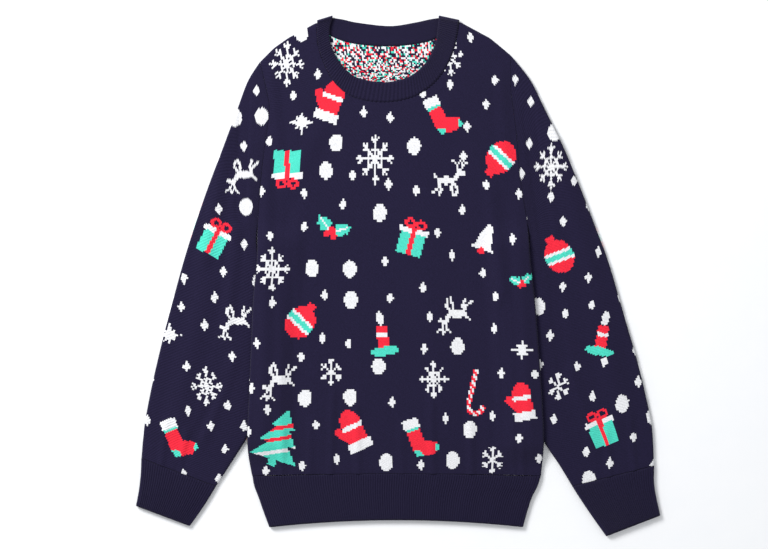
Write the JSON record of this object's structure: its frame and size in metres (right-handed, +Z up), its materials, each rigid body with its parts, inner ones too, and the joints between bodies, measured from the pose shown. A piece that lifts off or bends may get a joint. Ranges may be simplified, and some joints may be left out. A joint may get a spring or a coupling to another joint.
{
  "type": "christmas sweater",
  "caption": "Crew-neck knitted pullover with festive jacquard motifs and ribbed neckband, cuffs and hem, laid flat with its sleeves down.",
  "frame": {"origin": "middle of the garment's own box, on the surface it lies on", "axes": "+Z up out of the surface it lies on, +Y towards the neck, +X towards the sleeve on the viewer's right"},
  "size_m": [0.716, 0.711, 0.0126],
  "materials": {
    "jacquard_knit": "matte jacquard knit, navy with white, green and red motifs",
    "rib_knit": "matte ribbed knit, dark navy"
  },
  "bodies": {
    "root": {"front": "jacquard_knit", "back": "jacquard_knit", "sleeve_left": "jacquard_knit", "sleeve_right": "jacquard_knit", "neckband": "rib_knit", "cuff_left": "rib_knit", "cuff_right": "rib_knit", "hem": "rib_knit"}
  },
  "joints": []
}
